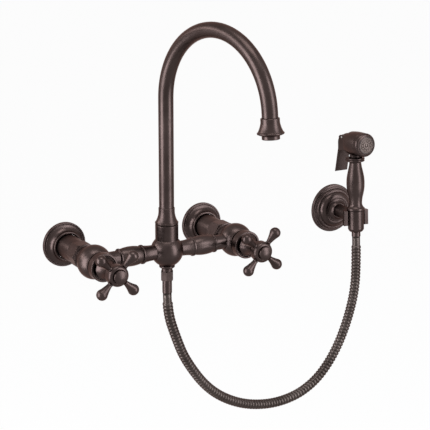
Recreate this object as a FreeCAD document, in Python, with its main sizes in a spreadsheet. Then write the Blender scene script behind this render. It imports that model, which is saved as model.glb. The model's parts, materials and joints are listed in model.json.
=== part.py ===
import FreeCAD, Part
import Sketcher
import math
import os

# Two-handle kitchen faucet that hangs on the wall: a bridge between two inlet valves, a swivelling
# gooseneck spout over it, and a hand spray on a ribbed hose that rests in its own wall bracket.
# Millimetres. The wall is the plane Y = 0 and the room lies on its -Y side; +X is to the right
# and +Z is up. The origin is on the wall, midway between the two inlets.

SIZES = {
    # where things stand
    "inlet_spacing": 203.2,
    "bridge_reach": 92.6,
    "bracket_place": 316.7,
    "bracket_level": -5.6,
    "spray_reach": 59.9,
    "spray_lean": 3.73,
    "spout_swing": 11.5,
    # clearances
    "fit_gap": 0.05,
    "loose_gap": 0.3,
    # wall inlet, its cover and its union
    "escutcheon_radius": 29.2,
    "escutcheon_edge": 3.2,
    "escutcheon_height": 15.6,
    "escutcheon_lip": 18.7,
    "escutcheon_sheet": 1.6,
    "sleeve_radius": 16.0,
    "sleeve_nose": 14.6,
    "socket_radius": 9.4,
    "socket_depth": 17.0,
    "water_radius": 6.5,
    "union_flats": 29.0,
    "union_length": 19.7,
    "union_lip": 3.0,
    "union_tail": 10.6,
    "union_collar": 12.6,
    "collar_thickness": 3.6,
    "washer_thickness": 2.0,
    "tail_show": 4.4,
    # valve body, measured from its ball's centre
    "valve_ball": 21.7,
    "valve_back": 24.6,
    "valve_front": 16.4,
    "valve_lip": 17.0,
    "valve_neck": 15.3,
    "valve_shoulder": 16.2,
    "valve_ring": 17.5,
    "chamber_radius": 12.0,
    "chamber_depth": 25.0,
    "port_floor": 13.2,
    "cartridge_top": 3.0,
    "cartridge_seat": 5.0,
    "bonnet_neck": 15.5,
    "bonnet_radius": 18.0,
    "bonnet_length": 14.0,
    # cross handle, measured from the bonnet's front
    "stem_radius": 5.0,
    "spline_radius": 4.2,
    "handle_gap": 0.8,
    "right_clock": 3.8,
    "skirt_radius": 13.0,
    "waist_radius": 8.5,
    "drum_radius": 13.4,
    "handle_length": 40.2,
    "arm_inset": 6.5,
    "arm_reach": 29.6,
    "arm_radius": 3.15,
    "arm_ring": 3.9,
    "knob_radius": 7.0,
    "stub_radius": 2.5,
    "stub_depth": 5.6,
    "cap_radius": 8.7,
    "cap_height": 5.2,
    "cap_seat": 2.0,
    "screw_radius": 2.4,
    "screw_head": 4.4,
    "screw_length": 15.0,
    # bridge arms, measured from the middle of the bridge
    "arm_root": 9.8,
    "root_seat": 12.0,
    "flare_start": 20.5,
    "bridge_ring_place": 34.8,
    "bridge_ring": 12.3,
    "barrel_radius": 12.7,
    "barrel_end": 66.0,
    "pipe_radius": 9.7,
    # centre body
    "centre_ball": 20.9,
    "centre_neck": 14.7,
    "centre_top": 35.0,
    "thread_neck": 10.7,
    "thread_length": 3.0,
    "swivel_floor": 15.0,
    "centre_bore": 7.2,
    "foot_radius": 10.0,
    "foot_top": 19.0,
    "foot_neck": 7.0,
    "foot_end": 26.5,
    "foot_thread": 6.1,
    "foot_thread_length": 4.9,
    # spout
    "tube_radius": 9.5,
    "tube_wall": 1.2,
    "tube_foot": 30.0,
    "run_gap": 0.06,
    "arch_radius": 93.1,
    "arch_base": 196.3,
    "arch_angle": 175.4,
    "tube_tail": 16.0,
    "keeper_radius": 10.55,
    "keeper_height": 2.0,
    "collar_ring": 14.8,
    "collar_mouth": 10.3,
    "collar_height": 21.7,
    "ring_section": 0.7,
    "bell_start": 5.1,
    "bell_neck": 11.2,
    "bell_rim": 15.9,
    "bell_length": 20.0,
    "bell_thread": 10.0,
    "aerator_radius": 10.55,
    "aerator_show": 4.4,
    "aerator_bore": 8.5,
    # hose ends
    "hose_nut_flats": 15.0,
    "hose_nut_height": 12.2,
    "ferrule_radius": 6.2,
    "ferrule_neck": 4.4,
    "ferrule_flange": 6.0,
    "ferrule_length": 16.6,
    "hose_water": 3.3,
    "hose_washer": 1.6,
    # hose
    "hose_crest": 6.7,
    "hose_root": 5.6,
    "hose_bore": 4.0,
    "hose_ribs": 118,
    "hose_drop": 26.0,
    "hose_rise": 36.0,
    # hand spray, measured along its own axis
    "nut_radius": 11.2,
    "nut_mouth": 8.5,
    "nut_bottom": -26.0,
    "nut_cone": 4.0,
    "grip_seat": 4.3,
    "grip_collar": 12.5,
    "grip_thread": 7.85,
    "grip_waist": 8.9,
    "grip_belly": 12.6,
    "grip_neck": 8.3,
    "grip_top": 78.4,
    "grip_bore": 3.6,
    "head_neck": 7.6,
    "head_axis": 98.6,
    "head_radius": 17.0,
    "head_front": 27.0,
    "head_back": 22.0,
    "head_chamber": 9.0,
    "face_radius": 11.2,
    "face_depth": 3.5,
    "hub_radius": 12.2,
    "jet_radius": 0.5,
    "jet_circle": 6.5,
    "plunger_radius": 2.5,
    "plunger_disc": 5.5,
    "lever_gap": 3.0,
    "lever_sheet": 2.5,
    "lever_width": 19.2,
    "lever_bend": 90.0,
    "lever_foot": 55.6,
    "lever_splay": 14.0,
    "pin_radius": 1.5,
    "pin_rise": 7.5,
    "pin_setback": 19.0,
    "cheek_sheet": 1.5,
    # bracket
    "fork_radius": 18.2,
    "fork_clear": 0.4,
    "fork_height": 21.0,
    "fork_turn": 13.4,
    "fork_prong": 1.8,
    "post_radius": 9.0,
    "post_bite": 4.2,
    "flange_radius": 34.5,
    "flange_height": 20.0,
    "flange_step": 28.3,
    "flange_dome": 24.6,
    "plate_radius": 24.0,
    "plate_thickness": 3.0,
    "plate_boss": 12.4,
    "plate_boss_height": 9.0,
    "post_thread": 6.8,
    "plate_hole": 2.3,
    "plate_hole_place": 18.5,
    "plate_screw_length": 0.6,
}

doc = FreeCAD.newDocument("Faucet")
sheet = doc.addObject("Spreadsheet::Sheet", "Sizes")
for row, (alias, number) in enumerate(SIZES.items(), 1):
    sheet.set("A%d" % row, alias)
    sheet.set("B%d" % row, str(number))
    sheet.setAlias("B%d" % row, alias)
doc.recompute()


class Size:
    """A length or angle: its number, and the sheet formula that gives it."""

    def __init__(self, value, text):
        self.value = float(value)
        self.text = text

    def __add__(self, other):
        other = size(other)
        return Size(self.value + other.value, "(%s + %s)" % (self.text, other.text))

    def __sub__(self, other):
        other = size(other)
        return Size(self.value - other.value, "(%s - %s)" % (self.text, other.text))

    def __mul__(self, other):
        other = size(other)
        return Size(self.value * other.value, "(%s * %s)" % (self.text, other.text))

    def __truediv__(self, other):
        other = size(other)
        return Size(self.value / other.value, "(%s / %s)" % (self.text, other.text))

    def __radd__(self, other):
        return size(other) + self

    def __rsub__(self, other):
        return size(other) - self

    def __rmul__(self, other):
        return size(other) * self

    def __neg__(self):
        return Size(-self.value, "(-%s)" % self.text)


def size(thing):
    if isinstance(thing, Size):
        return thing
    return Size(thing, "(%r)" % float(thing))


def root(thing):
    return Size(math.sqrt(thing.value), "sqrt(%s)" % thing.text)


def sine(angle):
    return Size(math.sin(math.radians(angle.value)), "sin(%s * 1 deg)" % angle.text)


def cosine(angle):
    return Size(math.cos(math.radians(angle.value)), "cos(%s * 1 deg)" % angle.text)


class Sheet:
    """The sheet's cells by name."""

    def __getattr__(self, alias):
        return Size(SIZES[alias], "Sizes." + alias)


s = Sheet()
QUARTER = 1 - math.sqrt(0.5)
X_AXIS = FreeCAD.Vector(1, 0, 0)
Y_AXIS = FreeCAD.Vector(0, 1, 0)
Z_AXIS = FreeCAD.Vector(0, 0, 1)

# ---------------------------------------------------------------- derived stations

valve_back = s.bridge_reach - s.valve_back
nut_front = valve_back - s.tail_show
nut_back = nut_front - s.union_length
sleeve_end = nut_back - s.loose_gap
collar_back = nut_back + s.union_lip + s.loose_gap
collar_front = collar_back + s.collar_thickness
tail_end = collar_front + s.washer_thickness
valve_front = s.bridge_reach + s.valve_front
chamber_floor = valve_front - s.chamber_depth
bonnet_front = valve_front + s.bonnet_length
skirt = bonnet_front + s.handle_gap
drum_front = skirt + s.handle_length
arm_plane = drum_front - s.arm_inset
stem_shoulder = skirt + 6.2
cap_floor = drum_front - s.cap_seat
screw_floor = cap_floor - 2.8
pipe_end = s.inlet_spacing / 2 - s.port_floor
neck_top = s.centre_top + s.thread_length
collar_bottom = s.centre_top + s.loose_gap
keeper_bottom = neck_top + s.loose_gap
keeper_top = keeper_bottom + s.keeper_height
foot_thread_end = s.foot_end + s.foot_thread_length
hose_washer_end = foot_thread_end + s.hose_washer
top_flange_end = hose_washer_end + 3.0
hose_nut_top = s.foot_end + s.loose_gap
hose_nut_bottom = hose_nut_top + s.hose_nut_height
ferrule_top_end = hose_nut_bottom + s.loose_gap + s.ferrule_length
ferrule_spray_end = s.nut_bottom - 7.0
fork_bore = s.nut_radius + s.fork_clear
fork_top = s.grip_seat - s.loose_gap


# ---------------------------------------------------------------- sketching


def plane(body, role):
    for feature in body.Origin.OriginFeatures:
        if feature.Role == role:
            return feature
    raise ValueError(role)


def new_sketch(body, name, role, across=0, up=0, out=0, turn=None):
    """A sketch on an origin plane, moved across, up and out of that plane."""
    sketch = body.newObject("Sketcher::SketchObject", name)
    sketch.AttachmentSupport = [(plane(body, role), "")]
    sketch.MapMode = "FlatFace"
    moves = [size(across), size(up), size(out)]
    base = FreeCAD.Vector(*[move.value for move in moves])
    sketch.AttachmentOffset = FreeCAD.Placement(base, turn or FreeCAD.Rotation())
    for letter, move in zip("xyz", moves):
        if move.value:
            sketch.setExpression("AttachmentOffset.Base." + letter, move.text)
    return sketch


def bowed(across, up, bow):
    """A corner reached by an arc that bows by this much, to the right of the way round."""
    return (across, up, "bow", bow)


def round_to(across, up, radius):
    """A corner reached by an arc of this radius, curving to the right of the way round."""
    return (across, up, "radius", radius)


def domed(across, up):
    """A corner on the axis at the top of a ball's cap that starts at the corner before."""
    return (across, up, "dome", 1)


def arc_radius(start, end, kind, amount):
    amount = size(amount)
    if kind == "radius":
        return amount
    across = size(end[0]) - start[0]
    up = size(end[1]) - start[1]
    if kind == "dome":
        return (across * across + up * up) / (up * 2)
    bow = amount if amount.value > 0 else -amount
    return (across * across + up * up) / (bow * 8) + bow / 2


def flat_point(corner):
    return FreeCAD.Vector(size(corner[0]).value, size(corner[1]).value, 0)


def draw(sketch, corners):
    """Adds a closed outline of lines and arcs, each corner bound to the sheet."""
    first = len(sketch.Geometry)
    count = len(corners)
    radii = {}
    ends = []
    for place, corner in enumerate(corners):
        start = corners[place - 1]
        a = flat_point(start)
        b = flat_point(corner)
        if len(corner) == 2:
            sketch.addGeometry(Part.LineSegment(a, b))
            ends.append((1, 2))
            continue
        kind, amount = corner[2], corner[3]
        radius = arc_radius(start, corner, kind, amount)
        side = 1 if size(amount).value > 0 else -1
        if kind == "radius" and side < 0:
            radius = -radius
        chord = b - a
        half = chord.Length / 2
        right = FreeCAD.Vector(chord.y, -chord.x, 0).normalize()
        depth = math.sqrt(max(radius.value**2 - half**2, 0))
        if kind == "bow" and abs(size(amount).value) > radius.value:
            depth = -depth
        centre = (a + b) * 0.5 - right * (side * depth)
        low, high = (a, b) if side > 0 else (b, a)
        begin = math.atan2(low.y - centre.y, low.x - centre.x)
        finish = math.atan2(high.y - centre.y, high.x - centre.x)
        if finish < begin:
            finish += 2 * math.pi
        circle = Part.Circle(centre, Z_AXIS, radius.value)
        radii[len(sketch.Geometry)] = radius
        sketch.addGeometry(Part.ArcOfCircle(circle, begin, finish))
        ends.append((1, 2) if side > 0 else (2, 1))
    for place in range(count):
        here = first + place
        after = first + (place + 1) % count
        joint = Sketcher.Constraint(
            "Coincident", here, ends[place][1], after, ends[(place + 1) % count][0]
        )
        sketch.addConstraint(joint)
        fix_point(sketch, here, ends[place][1], corners[place])
    for geometry, radius in radii.items():
        constrain(sketch, Sketcher.Constraint("Radius", geometry, radius.value), radius)
    return first


def fix_point(sketch, geometry, end, corner):
    across, up = size(corner[0]), size(corner[1])
    for amount, kind, axis in ((across, "DistanceX", -2), (up, "DistanceY", -1)):
        if amount.text == "(0.0)":
            sketch.addConstraint(Sketcher.Constraint("PointOnObject", geometry, end, axis))
        else:
            rule = Sketcher.Constraint(kind, -1, 1, geometry, end, amount.value)
            constrain(sketch, rule, amount)


def constrain(sketch, rule, amount):
    number = sketch.addConstraint(rule)
    if "Sizes." in amount.text:
        sketch.setExpression("Constraints[%d]" % number, amount.text)


def draw_circle(sketch, across, up, radius):
    centre = flat_point((across, up))
    number = sketch.addGeometry(Part.Circle(centre, Z_AXIS, size(radius).value))
    if size(across).value == 0 and size(up).value == 0:
        sketch.addConstraint(Sketcher.Constraint("Coincident", number, 3, -1, 1))
    else:
        fix_point(sketch, number, 3, (across, up))
    constrain(sketch, Sketcher.Constraint("Radius", number, size(radius).value), size(radius))


def bind(thing, name, amount):
    amount = size(amount)
    setattr(thing, name, amount.value)
    if "Sizes." in amount.text:
        thing.setExpression(name, amount.text)


# ---------------------------------------------------------------- features


def new_body(label):
    body = doc.addObject("PartDesign::Body", label)
    body.Label = label
    return body


def check_change(body, before, grows):
    doc.recompute()
    after = body.Shape.Volume
    if (after > before) != grows or abs(after - before) < 1e-3:
        raise ValueError("%s: a feature changed nothing (%g, %g)" % (body.Label, before, after))


def revolve(body, name, corners):
    """Turns an outline of (radius, height) corners about the body's Z axis."""
    sketch = new_sketch(body, name + "Outline", "XZ_Plane")
    draw(sketch, corners)
    feature = body.newObject("PartDesign::Revolution", name)
    feature.Profile = sketch
    feature.ReferenceAxis = (sketch, ["V_Axis"])
    feature.Angle = 360
    return feature


def turned(label, corners):
    body = new_body(label)
    revolve(body, "Turning", corners)
    return body


def drill(body, name, role, out, spots, depth, both=False, across=0, up=0):
    """Pockets round holes from an offset plane, towards the side the plane faces."""
    before = body.Shape.Volume
    sketch = new_sketch(body, name + "Circles", role, across, up, out)
    for x, y, radius in spots:
        draw_circle(sketch, x, y, radius)
    return pocket(body, name, sketch, depth, both, before)


def pocket(body, name, sketch, depth, both, before):
    feature = body.newObject("PartDesign::Pocket", name)
    feature.Profile = sketch
    feature.Type = 0
    bind(feature, "Length", depth)
    feature.Midplane = both
    feature.Reversed = not both
    check_change(body, before, False)
    return feature


def hex_corners(flats):
    reach = flats / math.sqrt(3)
    corners = []
    for step in range(6):
        angle = math.radians(60 * step)
        up = 0 if step in (0, 3) else reach * round(math.sin(angle), 9)
        corners.append((reach * round(math.cos(angle), 9), up))
    return corners


def cut_hexagon(body, flats, low, high):
    """Cuts away what lies outside a hexagon between two heights."""
    before = body.Shape.Volume
    sketch = new_sketch(body, "HexOutline", "XY_Plane", out=low)
    draw(sketch, hex_corners(flats))
    draw_circle(sketch, 0, 0, flats)
    pocket(body, "Hexagon", sketch, high - low, False, before)


def pattern_round(body, feature, copies):
    before = body.Shape.Volume
    grows = feature.isDerivedFrom("PartDesign::Revolution")
    pattern = body.newObject("PartDesign::PolarPattern", feature.Name + "Round")
    pattern.Originals = [feature]
    pattern.Axis = (plane(body, "Z_Axis"), [""])
    pattern.Angle = 360
    pattern.Occurrences = copies
    body.Tip = pattern
    check_change(body, before, grows)
    return pattern


def place(thing, spot, turn=None):
    """Moves a piece to (x, y, z), each bound to the sheet, after turning it."""
    turn = turn or FreeCAD.Rotation()
    spot = [size(value) for value in spot]
    base = FreeCAD.Vector(*[value.value for value in spot])
    thing.Placement = FreeCAD.Placement(base, turn)
    for letter, value in zip("xyz", spot):
        if "Sizes." in value.text:
            thing.setExpression("Placement.Base." + letter, value.text)


OUT = FreeCAD.Rotation(X_AXIS, 90)
LEAN = FreeCAD.Rotation(X_AXIS, -s.spray_lean.value)
SWING = FreeCAD.Rotation(Z_AXIS, s.spout_swing.value - 90)
PIECES = []


def keep(thing):
    PIECES.append(thing)
    return thing


# ---------------------------------------------------------------- wall inlet and valve


def escutcheon(side):
    """A spun cover: a rounded rim, a bead and a hollow flare up to a rolled lip."""
    rim, lip, top = s.escutcheon_radius, s.escutcheon_lip, s.escutcheon_height
    inner = s.sleeve_radius + 0.15
    sheet_in = s.escutcheon_sheet
    body = turned(side + "_escutcheon", [
        (rim - sheet_in - 1.2, 0),
        (rim, 0),
        (rim, s.escutcheon_edge),
        bowed(rim - 1.1, s.escutcheon_edge + 1.1, 0.3),
        (rim - 1.9, s.escutcheon_edge + 1.1),
        bowed(rim - 2.7, s.escutcheon_edge + 0.9, -0.3),
        bowed(rim - 3.7, s.escutcheon_edge + 1.5, 0.2),
        bowed(lip + 0.7, top - 1.7, -2.2),
        bowed(lip - 0.7, top, 0.6),
        (lip - 1.5, top),
        (lip - 1.5, top - 3.4),
        (inner, top - 3.4),
        (inner, top - 5.2),
        (lip + 0.4, top - 5.2),
        bowed(rim - 4.6, s.escutcheon_edge - 0.2, 1.6),
        (rim - sheet_in - 1.2, 1.6),
    ])
    return body


def inlet_sleeve(side):
    """The fixed inlet: a female pipe thread at the wall and a collared tail for the union."""
    return turned(side + "_inlet_sleeve", [
        (s.socket_radius, 0),
        (s.sleeve_radius, 0),
        (s.sleeve_radius, s.escutcheon_height - 2),
        bowed(s.sleeve_nose, sleeve_end - 0.5, 0.5),
        (s.sleeve_nose - 0.6, sleeve_end),
        (s.union_tail, sleeve_end),
        (s.union_tail, collar_back),
        (s.union_collar, collar_back),
        (s.union_collar, collar_front),
        (s.water_radius, collar_front),
        (s.water_radius, s.socket_depth),
        (s.socket_radius, s.socket_depth),
    ])


def union_nut(side):
    """The hexagon nut that draws the valve up to the inlet."""
    tip = s.union_flats / math.sqrt(3)
    tail = s.union_tail + s.loose_gap
    bore = s.union_collar + s.loose_gap
    body = turned(side + "_union_nut", [
        (tail, nut_back),
        (tip - 1.9, nut_back),
        (tip, nut_back + 1.1),
        (tip, nut_front - 1.1),
        (tip - 1.9, nut_front),
        (bore, nut_front),
        (bore, nut_back + s.union_lip),
        (tail, nut_back + s.union_lip),
    ])
    doc.recompute()
    cut_hexagon(body, s.union_flats, nut_back - 1, nut_front + 1)
    return body


def union_washer(side):
    return turned(side + "_union_washer", [
        (s.water_radius, collar_front),
        (s.union_collar, collar_front),
        (s.union_collar, tail_end),
        (s.water_radius, tail_end),
    ])


def valve_body(side):
    """A ball with a threaded tail, a side port for the bridge and a chamber for the cartridge."""
    ball, centre = s.valve_ball, s.bridge_reach
    behind = centre - root(ball * ball - s.valve_neck * s.valve_neck)
    ahead = centre + root(ball * ball - s.valve_shoulder * s.valve_shoulder)
    body = turned(side + "_valve_body", [
        (s.water_radius, tail_end),
        (s.union_collar, tail_end),
        (s.union_collar, valve_back),
        (s.valve_lip - 0.8, valve_back),
        (s.valve_lip, valve_back + 0.8),
        (s.valve_lip, valve_back + 2),
        (s.valve_neck, valve_back + 2.8),
        (s.valve_neck, behind),
        round_to(s.valve_shoulder, ahead, ball),
        (s.valve_ring - 0.5, ahead + 0.1),
        (s.valve_ring, ahead + 0.6),
        (s.valve_ring, valve_front - 0.5),
        (s.valve_ring - 0.5, valve_front),
        (s.chamber_radius, valve_front),
        (s.chamber_radius, chamber_floor),
        (s.water_radius, chamber_floor),
    ])
    doc.recompute()
    port = [(0, s.bridge_reach, s.pipe_radius + s.fit_gap)]
    drill(body, "Port", "YZ_Plane", s.port_floor, port, s.valve_ball)
    passage = [(0, s.bridge_reach, s.water_radius)]
    drill(body, "Passage", "YZ_Plane", s.chamber_radius - 3, passage, s.port_floor)
    return body


def cartridge(side):
    """The quarter-turn cartridge that stands in the valve's chamber."""
    outer = s.chamber_radius - s.fit_gap
    stem = s.stem_radius + s.run_gap
    seat = chamber_floor + s.cartridge_seat
    body = turned(side + "_cartridge", [
        (s.water_radius - 1, chamber_floor),
        (outer, chamber_floor),
        (outer, valve_front + s.cartridge_top),
        (stem, valve_front + s.cartridge_top),
        (stem, seat),
        (s.water_radius - 1, seat),
    ])
    doc.recompute()
    window = [(0, s.bridge_reach, s.water_radius - 1.5)]
    drill(body, "Window", "YZ_Plane", s.stem_radius + 1.5, window, s.chamber_radius)
    return body


def bonnet(side):
    """The ring that holds the cartridge down, with a stepped, dished front."""
    neck, rim = s.bonnet_neck, s.bonnet_radius
    disc = valve_front + s.cartridge_top
    stem = s.stem_radius + 0.5
    return turned(side + "_bonnet", [
        (s.chamber_radius, valve_front),
        (neck, valve_front),
        (neck, disc),
        (rim - 0.8, disc),
        bowed(rim, disc + 0.8, 0.2),
        (rim, bonnet_front - 1),
        bowed(rim - 1, bonnet_front, 0.3),
        (rim - 2.4, bonnet_front),
        (rim - 3, bonnet_front - 1.5),
        (rim - 4.6, bonnet_front - 1.7),
        (stem, bonnet_front - 2.6),
        (stem, disc),
        (s.chamber_radius, disc),
    ])


def stem(side):
    """The spindle: it turns in the cartridge and carries the handle on its smaller end."""
    low = chamber_floor + s.cartridge_seat + s.loose_gap
    top = screw_floor - 1.6
    hole = s.screw_radius + s.fit_gap
    return turned(side + "_stem", [
        (0, low),
        (s.stem_radius, low),
        (s.stem_radius, stem_shoulder),
        (s.spline_radius, stem_shoulder),
        (s.spline_radius, top),
        (hole, top),
        (hole, screw_floor - s.screw_length - 1),
        (0, screw_floor - s.screw_length - 1),
    ])


def handle_hub(side):
    """A skirt, a waist and a drum in one turning, bored for the spindle, screw and cap."""
    waist, drum = s.waist_radius, s.drum_radius
    fit = s.stem_radius + s.fit_gap
    spline = s.spline_radius + s.fit_gap
    head = s.screw_head + s.loose_gap
    cap = s.cap_radius + s.loose_gap
    long = s.handle_length
    body = turned(side + "_handle_hub", [
        (fit, skirt),
        (s.skirt_radius - 0.6, skirt),
        bowed(s.skirt_radius, skirt + 0.6, 0.15),
        (s.skirt_radius, skirt + 1.4),
        bowed(waist, skirt + long * 0.36, -1.1),
        (waist, skirt + long * 0.44),
        bowed(drum - 1, skirt + long * 0.655, -1.0),
        bowed(drum, skirt + long * 0.69, 0.3),
        (drum, drum_front - 4.4),
        bowed(cap + 0.7, drum_front, 0.95),
        (cap, drum_front),
        (cap, cap_floor),
        (head, cap_floor),
        (head, screw_floor),
        (spline, screw_floor),
        (spline, stem_shoulder),
        (fit, stem_shoulder),
    ])
    doc.recompute()
    hole = [(0, arm_plane, s.stub_radius + s.fit_gap)]
    reach = s.drum_radius - s.stub_depth - s.loose_gap
    first = drill(body, "ArmHole", "YZ_Plane", reach, hole, s.drum_radius)
    pattern_round(body, first, 4)
    return body


def handle_arms(side):
    """Four clubs: each grows evenly from a slim neck at the drum to a rounded end."""
    body = new_body(side + "_handle_arms")
    body.AllowCompound = True
    sketch = new_sketch(body, "ArmOutline", "XZ_Plane", up=arm_plane)
    drum, reach, knob = s.drum_radius, s.arm_reach, s.knob_radius
    shaft = s.arm_radius
    draw(sketch, [
        (drum - s.stub_depth, 0),
        (reach + knob, 0),
        round_to(reach - knob * 0.22, knob * 0.9755, knob),
        bowed(drum + 1.7, shaft, -0.4),
        bowed(drum + 0.2, s.arm_ring, -0.25),
        (drum + 0.2, s.stub_radius),
        (drum - s.stub_depth, s.stub_radius),
    ])
    arm = body.newObject("PartDesign::Revolution", "Arm")
    arm.Profile = sketch
    arm.ReferenceAxis = (sketch, ["H_Axis"])
    arm.Angle = 360
    doc.recompute()
    pattern_round(body, arm, 4)
    return body


def handle_cap(side):
    """The low button over the handle's screw."""
    top = cap_floor + s.cap_seat + s.cap_height
    edge = drum_front + 2.6
    return turned(side + "_handle_cap", [
        (0, cap_floor),
        (s.cap_radius, cap_floor),
        (s.cap_radius, edge),
        bowed(s.cap_radius - 1.2, edge + 1.3, 0.35),
        domed(0, top),
    ])


def handle_screw(side):
    return turned(side + "_handle_screw", [
        (0, screw_floor - s.screw_length),
        (s.screw_radius, screw_floor - s.screw_length),
        (s.screw_radius, screw_floor),
        (s.screw_head, screw_floor),
        (s.screw_head, screw_floor + 1.4),
        domed(0, screw_floor + 2.5),
    ])


def valve_side(side, sign):
    """Everything on one inlet, from the wall out to the handle's cap."""
    facing = FreeCAD.Rotation(Z_AXIS, 0 if sign < 0 else 180)
    clock = s.right_clock.value if sign > 0 else 0
    eighth = FreeCAD.Rotation(Z_AXIS, 45 + clock)
    spot = (s.inlet_spacing * (0.5 * sign), 0, 0)
    straight = OUT.multiply(facing)
    crossed = OUT.multiply(eighth)
    for make in (
        escutcheon, inlet_sleeve, union_nut, union_washer, valve_body, cartridge, bonnet,
        stem, handle_cap, handle_screw,
    ):
        place(keep(make(side)), spot, straight)
    for make in (handle_hub, handle_arms):
        place(keep(make(side)), spot, crossed)


# ---------------------------------------------------------------- bridge and centre


def bridge_arm(side, sign):
    """A pipe from the centre to a valve: a flare, a ring, a barrel-shaped swelling, a ring."""
    ring, start, end = s.bridge_ring, s.bridge_ring_place, s.barrel_end
    slim = s.arm_root + 1.4
    body = turned(side + "_bridge_arm", [
        (s.water_radius, s.root_seat),
        (s.arm_root, s.root_seat),
        (s.arm_root, s.flare_start),
        bowed(slim, start - 0.6, -0.4),
        (ring - 0.5, start),
        bowed(ring, start + 0.6, 0.15),
        (ring, start + 2),
        bowed(ring - 0.5, start + 2.6, 0.15),
        (slim - 0.4, start + 3),
        (slim - 0.1, start + 3.8),
        bowed(slim - 0.3, end, s.barrel_radius - slim + 0.2),
        (ring - 0.9, end + 0.4),
        bowed(ring - 0.4, end + 1, 0.15),
        (ring - 0.4, end + 2),
        bowed(ring - 0.9, end + 2.6, 0.15),
        (s.pipe_radius, end + 3.4),
        (s.pipe_radius, pipe_end),
        (s.water_radius, pipe_end),
    ])
    place(body, (0, -s.bridge_reach, 0), FreeCAD.Rotation(Y_AXIS, 90 * sign))
    return body


def centre_body():
    """The ball of the bridge: two side ports, the spout's swivel bore and the hose outlet."""
    ball, neck, foot = s.centre_ball, s.centre_neck, s.foot_radius
    low = -root(ball * ball - (foot - 0.9) * (foot - 0.9))
    high = root(ball * ball - neck * neck)
    swivel = s.tube_radius + s.run_gap
    body = turned("centre_body", [
        (s.hose_water, -foot_thread_end),
        (s.foot_thread, -foot_thread_end),
        (s.foot_thread, -s.foot_end),
        (s.foot_neck, -s.foot_end),
        (s.foot_neck, -s.foot_top - 4),
        (foot - 0.8, -s.foot_top - 2.8),
        bowed(foot, -s.foot_top - 2, 0.25),
        (foot, -s.foot_top - 0.7),
        bowed(foot - 0.5, -s.foot_top, 0.2),
        (foot - 0.9, low),
        round_to(neck, high, ball),
        (neck, s.centre_top - 1),
        bowed(neck - 1, s.centre_top, 0.3),
        (s.thread_neck, s.centre_top),
        (s.thread_neck, neck_top),
        (swivel, neck_top),
        (swivel, s.swivel_floor),
        (s.centre_bore, s.swivel_floor),
        (s.centre_bore, -17),
        (s.hose_water, -19),
    ])
    doc.recompute()
    for name, turn in (("Right", 0), ("Left", 180)):
        for part, radius, seat in (
            ("Port", s.arm_root + s.fit_gap, s.root_seat),
            ("Passage", s.water_radius, s.centre_bore - 2),
        ):
            before = body.Shape.Volume
            flip = FreeCAD.Rotation(Y_AXIS, turn)
            out = seat if turn == 0 else -seat
            sketch = new_sketch(body, name + part + "Circle", "YZ_Plane", out=out, turn=flip)
            draw_circle(sketch, 0, 0, radius)
            pocket(body, name + part, sketch, s.centre_ball, False, before)
    place(body, (0, -s.bridge_reach, 0))
    return body


def diverter():
    """The spool that sends water to the hose when the spray is opened."""
    land = s.centre_bore - s.loose_gap
    body = turned("diverter", [
        (0, -16.6),
        (land, -16.6),
        (land, -13.2),
        (land - 3.6, -12.6),
        (land - 3.6, 9),
        (land, 9.6),
        (land, 12.4),
        (0, 12.4),
    ])
    place(body, (0, -s.bridge_reach, 0))
    return body


def spout_collar():
    """A hollow cone that screws down over the spout's keeper ring."""
    tube = s.tube_radius + 0.15
    cavity = s.thread_neck + 0.2
    ring = s.collar_ring
    top = s.centre_top + s.collar_height
    body = turned("spout_collar", [
        (cavity, collar_bottom),
        (ring - 1.1, collar_bottom),
        bowed(ring, collar_bottom + 1.1, 0.3),
        (ring, collar_bottom + 2.2),
        bowed(ring - 0.6, collar_bottom + 2.8, 0.2),
        bowed(s.collar_mouth, top - 3, -1.15),
        (s.collar_mouth, top - 0.5),
        (s.collar_mouth - 0.4, top),
        (tube, top),
        (tube, keeper_top + s.loose_gap),
        (cavity, keeper_top + s.loose_gap),
    ])
    place(body, (0, -s.bridge_reach, 0))
    return body


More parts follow.
